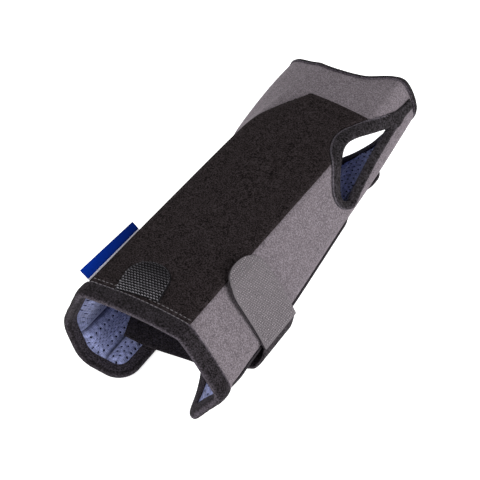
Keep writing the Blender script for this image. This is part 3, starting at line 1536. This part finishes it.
class WRIST_OT_seam_tape(bpy.types.Operator):
    """Lays the slim tape along the thumb-side fold"""

    bl_idname = "wrist_support.seam_tape"
    bl_label = "Seam Tape"

    def execute(self, context):
        sizes, colours = settings(context)
        y = np.linspace(*SEAM_TAPE_Y, 120)
        side = np.linspace(0, 1, 9)
        girth = girth_at(y, FOLD, SEAM_TAPE_PLACE)[:, None] + side * SEAM_TAPE_WIDTH
        flat = np.stack([girth, np.repeat(y[:, None], len(side), axis=1)], -1)
        spots = flat.reshape(-1, 2)
        away = np.minimum(side, 1 - side) * SEAM_TAPE_WIDTH
        swell = np.minimum(ease(y - y[0], 0, SEAM_TAPE_FADES[0]), ease(y[-1] - y, 0, SEAM_TAPE_FADES[1]))
        top = 0.25 * MM + np.outer(swell, 0.35 * MM + rounded_edge(SEAM_TAPE_THICK, away, 0.6 * MM))
        upper = wrap(spots, top.ravel()).reshape(*flat.shape[:2], 3)
        lower = wrap(spots, 0.2 * MM).reshape(*flat.shape[:2], 3)
        piece = grid_piece("side_seam_ribbon", upper, lower, flat)
        ribbon = woven_tape("seam_ribbon", colours.strap, rib=1.0 * MM, contrast=0.4, depth=0.15 * MM)
        piece.data.materials.append(ribbon)
        stand_for(piece, "seam_tape", "side_seam_tape")
        return {"FINISHED"}


def hook_seats(rows, half_width, half, step, margin):
    """Distances across and along a tab of its hooks, in staggered rows that keep a margin from its edge."""
    seats = []
    for row, place in enumerate(rows):
        steps = np.arange(-half, half, step) + (row % 2) * step / 2
        reach = half_width(place) - margin
        seats += [(across, place) for across in steps[np.abs(steps) < reach]]
    return np.array(seats).T


class WRIST_OT_pocket_tab(bpy.types.Operator):
    """Sews the dark hook tab on the forearm end of the panel"""

    bl_idname = "wrist_support.pocket_tab"
    bl_label = "Pocket Tab"

    def tab_place(self, across, along):
        """Flat points of the tab at a distance across and along it."""
        c, s = math.cos(POCKET_TURN), math.sin(POCKET_TURN)
        girth = POCKET_ROOT[0] + across * c - along * s
        y = POCKET_ROOT[1] + across * s + along * c
        return np.stack([girth, y], 1)

    def half_width(self, along):
        """Half the width of the tab at a distance along it."""
        inside = np.clip(1 - (POCKET_LENGTH - along) / POCKET_HALF, 0, 1)
        return POCKET_HALF * np.sqrt(np.maximum(0, 1 - inside**POCKET_ROUND))

    def round_line(self, half, along):
        """Flat line up one side of the tab, round its end and down the other."""
        return self.tab_place(np.concatenate([half, -half[::-1]]), np.concatenate([along, along[::-1]]))

    def tape(self, sizes, colours, outline, base):
        """Woven tape of the tab, at a height over the wall."""
        flat, faces = flat_mesh(outline, [], POCKET_STEP)
        away = edge_distance(flat, faces)
        top = base + rounded_edge(sizes.hook_tape * 0.7, away, 0.7 * MM)
        piece = cloth_shell("pocket_tab_tape", flat, faces, top, base)
        ground = shade(colours.hook_dark, 0.6)
        woven = woven_tape("pocket_tape", ground, rib=1.0 * MM, contrast=0.5, depth=0.2 * MM)
        piece.data.materials.append(woven)
        stand_for(piece, "hook_tape_dark", "pocket_tab")

    def hooks(self, sizes, colours, base):
        """Rows of hooks on the tape."""
        rows = np.arange(0.4 * MM, 26 * MM, sizes.hook_pitch * 1.06)
        across, along = hook_seats(rows, self.half_width, POCKET_HALF, POCKET_HOOK_STEP, 0.9 * MM)
        spots = self.tab_place(across, along)
        foot = wrap(spots, base + sizes.hook_tape * 0.66)
        under = wrap(spots, base)
        ahead = wrap(self.tab_place(across + 1 * MM, along), base)
        finish = spun_thread("pocket_hooks", colours.pocket_hooks, POCKET_FADE)
        hooked(
            "pocket_tab_hooks", foot, foot - under, ahead - under,
            height=sizes.hook_height * 1.05, yarn=0.27 * MM, material=finish, slot="hook_tape_dark",
        )

    def execute(self, context):
        sizes, colours = settings(context)
        along = POCKET_LENGTH * np.sin(np.linspace(0, np.pi / 2, 40))
        half = self.half_width(along)
        base = CLEAR * 1.4 + sizes.panel
        self.tape(sizes, colours, even_loop(self.round_line(half, along), POCKET_STEP), base)
        self.hooks(sizes, colours, base)
        hem = self.round_line(np.maximum(half - 0.8 * MM, 0), 0.97 * along)
        hem = wrap(hem, base + sizes.hook_tape * 0.7)
        thread = spun_thread("pocket_thread", shade(colours.hook_dark, 5))
        sewn("pocket_stitches", [hem], sizes, thread, "hook_tape_dark", pitch=2 * MM, thread=0.45 * MM)
        return {"FINISHED"}


def band_run(path, share):
    """Points, outward directions and total length along a strap's run."""
    points = np.stack([path["x"], path["z"]], 1)
    corners = np.repeat(points[:, None, :], len(share), axis=1)
    pieces = rounded_run(corners, np.full(len(points) - 2, STRAP_BEND))
    total = sum(piece[3][0] for piece in pieces)
    point, out = run_place(pieces, share * total)
    spans = np.concatenate([[0], np.cumsum(np.linalg.norm(np.diff(points, axis=0), axis=1))])
    lies = {"along": spans / spans[-1], "y": path["y"]}
    return point, out, smooth(lies, "along", share, "y"), total


def band_length(path):
    """Length of a strap's run."""
    return band_run(path, np.array([0.0]))[3]


def band_places(path, share, across, height):
    """Points of a strap at shares of its run, distances across and heights over its middle."""
    point, out, y, _ = band_run(path, share)
    x = point[:, 0] + out[:, 0] * height
    z = point[:, 1] + out[:, 1] * height
    return np.stack([x, y + across, z], 1) - ORIGIN


def tip_width(half, distance):
    """Half the width of a strap at a distance from its round tip."""
    inside = np.clip(1 - distance / TIP_ROUND, 0, 1)
    return half * (1 - inside**TIP_POWER) ** (1 / TIP_POWER)


def band_piece(name, path, shares, half, low, high, skew=0.0):
    """Strap with a round tip at the start of its run, soft edges and an end that may be cut askew."""
    total = band_length(path)
    side = np.sin(np.linspace(-np.pi / 2, np.pi / 2, 21))
    width = np.maximum(tip_width(half, shares * total), 0.4 * MM)
    across = width[:, None] * side[None, :]
    share = shares[:, None] * (1 + skew * across / total)
    away = np.minimum(width[:, None] - np.abs(across), share * total + 0.2 * MM)
    away = np.minimum(away, (1 - shares[:, None]) * total + 0.2 * MM)
    thick = rounded_edge((high - low) / 2, away, 0.8 * MM)
    middle = (high + low) / 2
    shape = (len(shares), len(side), 3)

    def level(offset):
        return band_places(path, share.ravel(), across.ravel(), (middle + offset).ravel()).reshape(shape)

    flat = np.stack([across, share * total], -1)
    return grid_piece(name, level(thick), level(-thick), flat)


def tip_shares(end, total, step):
    """Shares of a strap's run, close together at its round tip."""
    tip = TIP_ROUND * (1 - np.cos(np.linspace(0, np.pi / 2, TIP_STEPS)))
    rest = np.arange(tip[-1] + step, end * total, step)
    return np.concatenate([tip, rest, [end * total]]) / total


class WRIST_OT_straps(bpy.types.Operator):
    """Runs the two straps and lays the grey hook tab on the forearm strap"""

    bl_idname = "wrist_support.straps"
    bl_label = "Straps"

    def execute(self, context):
        sizes, colours = settings(context)
        half = sizes.strap_width / 2
        thick = sizes.strap / 2
        loop = napped_fabric(
            "strap_loop", colours.strap,
            grain=0.9 * MM, contrast=0.8, nap=0.35 * MM, sheen=0.02, warm=0.03, edge_light=1.0,
        )
        total = band_length(FOREARM_STRAP)
        shares = tip_shares(1.0, total, STRAP_STEP)
        narrow = half - 0.4 * MM
        strap = band_piece("forearm_strap_web", FOREARM_STRAP, shares, narrow, -thick, thick, STRAP_SKEW)
        strap.data.materials.append(loop)
        side = np.array([vertex.co.x for vertex in strap.data.vertices])
        brushed = ease(side, *STRAP_BRUSHED)
        brushed[: len(side) // 2] = 0
        store(strap, "nap", brushed)
        stand_for(strap, "strap_felt", "forearm_strap")

        base = thick + CLEAR * 0.4
        shares = tip_shares(TAB_END, total, STRAP_STEP)
        top = base + sizes.hook_tape * 0.75
        tab = band_piece("forearm_tab_tape", FOREARM_STRAP, shares, half, base, top)
        ground = shade(colours.hook_grey, 0.88)
        woven = woven_tape("grey_hook_tape", ground, rib=0.8 * MM, contrast=0.2, depth=0.1 * MM)
        tab.data.materials.append(woven)
        stand_for(tab, "hook_tape_grey", "forearm_strap_tab")
        self.tab_hooks(sizes, colours, base + sizes.hook_tape * 0.7, half, total)

        palm_total = band_length(PALM_STRAP)
        shares = tip_shares(1.0, palm_total, PALM_STEP)
        palm = band_piece("palm_strap_web", PALM_STRAP, shares, half, -thick, thick)
        palm.data.materials.append(loop)
        stand_for(palm, "strap_felt", "palm_strap")
        return {"FINISHED"}

    def tab_hooks(self, sizes, colours, level, half, total):
        """Rows of low hooks across the grey tab."""
        rows = np.arange(2 * MM, HOOK_END * total, sizes.hook_pitch * 0.9)
        across, along = hook_seats(rows, lambda place: tip_width(half, place), half, TAB_HOOK_STEP, 1.2 * MM)
        share = along / total
        foot = band_places(FOREARM_STRAP, share, across, level)
        under = band_places(FOREARM_STRAP, share, across, level - 1 * MM)
        ahead = band_places(FOREARM_STRAP, share + 0.002, across, level)
        finish = spun_thread("grey_hooks", shade(colours.hook_grey, 2.05))
        hooked(
            "forearm_tab_hooks", foot, foot - under, ahead - foot,
            height=sizes.hook_height * 0.75, yarn=0.22 * MM, material=finish, slot="hook_tape_grey",
        )


class WRIST_OT_label(bpy.types.Operator):
    """Folds the plain ribbon label at the edge of the panel"""

    bl_idname = "wrist_support.label"
    bl_label = "Label"

    def execute(self, context):
        sizes, colours = settings(context)
        points = np.stack([LABEL_SECTION["x"], LABEL_SECTION["z"]], 1)
        y = np.linspace(*LABEL_Y, 60)
        share = np.linspace(0, 1, 26)
        grid_y, grid_share = (grid.ravel() for grid in np.meshgrid(y, share, indexing="ij"))
        corners = np.repeat(points[:, None, :], len(grid_y), axis=1)
        pieces = rounded_run(corners, LABEL_BENDS)
        total = sum(piece[3][0] for piece in pieces)
        narrow = 1 - LABEL_NARROWS * (grid_y - y[0]) / (y[-1] - y[0])
        point, out = run_place(pieces, grid_share * total * narrow)
        thick = 0.5 * sizes.label * np.interp(grid_share, *np.transpose(LABEL_THICK))
        curl = LABEL_CURL * np.sin(grid_y / LABEL_WAVE) * grid_share**2

        def level(sign):
            shift = sign * thick + curl
            x = point[:, 0] + out[:, 0] * shift
            z = point[:, 1] + out[:, 1] * shift
            return (np.stack([x, grid_y, z], 1) - ORIGIN).reshape(len(y), len(share), 3)

        flat = np.stack([grid_y, grid_share * total], 1).reshape(len(y), len(share), 2)
        piece = grid_piece("label_ribbon_fold", level(1.0), level(-1.0), flat)
        piece.data.materials.append(satin_ribbon("label_satin", colours.label))
        stand_for(piece, "label_ribbon", "label")
        return {"FINISHED"}


class WRIST_OT_stitches(bpy.types.Operator):
    """Sews the panel, the bindings and the tabs with rows of stitches"""

    bl_idname = "wrist_support.stitches"
    bl_label = "Stitches"

    def execute(self, context):
        sizes, colours = settings(context)
        pale = spun_thread("pale_thread", colours.thread)
        dark = spun_thread("dark_thread", shade(colours.binding, 1.6))
        faint = spun_thread("faint_thread", shade(colours.binding, 3.2))
        slim = sizes.thread * 0.8
        on_panel = CLEAR + sizes.panel
        on_tape = sizes.tape + CLEAR * 0.4
        lifts = (on_panel - 0.05 * MM, sizes.tape + CLEAR + 0.35 * MM)
        near = [wrap(near_line(row, sizes)[NEAR_SEWN], lift) for row, lift in zip(NEAR_ROWS, lifts)]
        sewn("near_stitches", near, sizes, pale, "loop_felt")

        y = np.linspace(*LONG_ROWS_Y, 120)
        right = np.stack([crease_girth(y) - LONG_ROWS[0], y], 1)
        left = np.stack([crease_girth(y, LEFT_CREASE) + LONG_ROWS[1], y], 1)
        lines = [wrap(line, on_panel - 0.2 * MM) for line in (right, left)]
        sewn("panel_stitches", lines, sizes, dark, "loop_felt", thread=slim)

        loop = wall_outline(2 * MM)
        row = loop + inward_ways(loop) * (sizes.tape_width - TAPE_ROW)
        row = row[loop[:, 1] < TAPE_ROW_END]
        breaks = np.flatnonzero(np.linalg.norm(np.diff(row, axis=0), axis=1) > 8 * MM) + 1
        parts = [part for part in np.split(row, breaks) if len(part) > 3]
        edge = [wrap(part, on_tape + 0.12 * MM) for part in parts]
        sewn("binding_stitches", edge, sizes, dark, "binding_tape")

        hole, _ = thumb_outline(1.5 * MM, lambda out: thumb_reach(out) - THUMB_ROW)
        ring = wrap(np.vstack([hole, hole[:1]]), on_tape + 0.42 * MM)
        sewn("thumb_stitches", [ring], sizes, faint, "binding_tape", thread=slim)
        return {"FINISHED"}


class WRIST_OT_stage(bpy.types.Operator):
    """Sets the floor, the lights and the camera"""

    bl_idname = "wrist_support.stage"
    bl_label = "Stage"

    def aim(self, thing, azimuth, elevation, distance, target):
        """Puts a lamp or camera at an azimuth and elevation in degrees round a target, facing it."""
        a, e = math.radians(azimuth), math.radians(elevation)
        way = Vector((math.sin(a) * math.cos(e), -math.cos(a) * math.cos(e), math.sin(e)))
        thing.location = target + way * distance
        thing.rotation_euler = way.to_track_quat("Z", "Y").to_euler()

    def lamp(self, name, azimuth, elevation, size, power):
        """Soft square lamp turned to the support."""
        light = bpy.data.lights.new(name, "AREA")
        light.shape = "SQUARE"
        light.size = size
        light.energy = power
        self.aim(placed(name, light), azimuth, elevation, LAMP_DISTANCE, LAMP_TARGET)

    def floor(self, colours):
        """Pale plain floor that glows a little, as paper on a light table does."""
        mesh = bpy.data.meshes.new("floor")
        far = FLOOR_HALF
        corners = [(-far, -far, 0), (far, -far, 0), (far, far, 0), (-far, far, 0)]
        mesh.from_pydata(corners, [], [(0, 1, 2, 3)])
        floor = placed("floor", mesh)
        material, _, shader = new_material("pale_floor")
        shader.inputs["Base Color"].default_value = (*colours.floor, 1.0)
        shader.inputs["Emission Color"].default_value = (1.0, 1.0, 1.0, 1.0)
        shader.inputs["Emission Strength"].default_value = FLOOR_GLOW
        mesh.materials.append(material)

    def execute(self, context):
        _, colours = settings(context)
        scene = context.scene
        self.floor(colours)
        world = bpy.data.worlds.new("studio")
        world.use_nodes = True
        sky = world.node_tree.nodes["Background"]
        sky.inputs["Color"].default_value = (1.0, 1.0, 1.0, 1.0)
        sky.inputs["Strength"].default_value = SKY_STRENGTH
        scene.world = world
        for name, values in LAMPS.items():
            self.lamp(name, *values)
        lens = bpy.data.cameras.new("camera")
        lens.sensor_width = CAMERA_SENSOR
        lens.lens = CAMERA_LENS
        lens.clip_start = 0.05
        camera = placed("camera", lens)
        self.aim(camera, *CAMERA_SPOT, Vector(CAMERA_TARGET - ORIGIN))
        scene.camera = camera
        scene.view_settings.view_transform = "Standard"
        return {"FINISHED"}


PIECES = (
    WRIST_OT_stage,
    WRIST_OT_outer_wall,
    WRIST_OT_lining,
    WRIST_OT_dorsal_panel,
    WRIST_OT_bindings,
    WRIST_OT_seam_tape,
    WRIST_OT_pocket_tab,
    WRIST_OT_straps,
    WRIST_OT_label,
    WRIST_OT_stitches,
)


class WRIST_PT_support(bpy.types.Panel):
    """Lists the pieces of the support"""

    bl_idname = "WRIST_PT_support"
    bl_label = "Wrist Support"
    bl_space_type = "VIEW_3D"
    bl_region_type = "UI"
    bl_category = "Wrist Support"

    def draw(self, context):
        for piece in PIECES:
            self.layout.operator(piece.bl_idname)


CLASSES = (WristSupportSizes, WristSupportColours, *PIECES, WRIST_PT_support)


def register():
    for entry in CLASSES:
        bpy.utils.register_class(entry)
    bpy.types.Scene.wrist_support_sizes = PointerProperty(type=WristSupportSizes)
    bpy.types.Scene.wrist_support_colours = PointerProperty(type=WristSupportColours)


def unregister():
    del bpy.types.Scene.wrist_support_colours
    del bpy.types.Scene.wrist_support_sizes
    for entry in reversed(CLASSES):
        bpy.utils.unregister_class(entry)


def main():
    register()
    for piece in PIECES:
        family, name = piece.bl_idname.split(".")
        getattr(getattr(bpy.ops, family), name)()


if __name__ == "__main__":
    main()
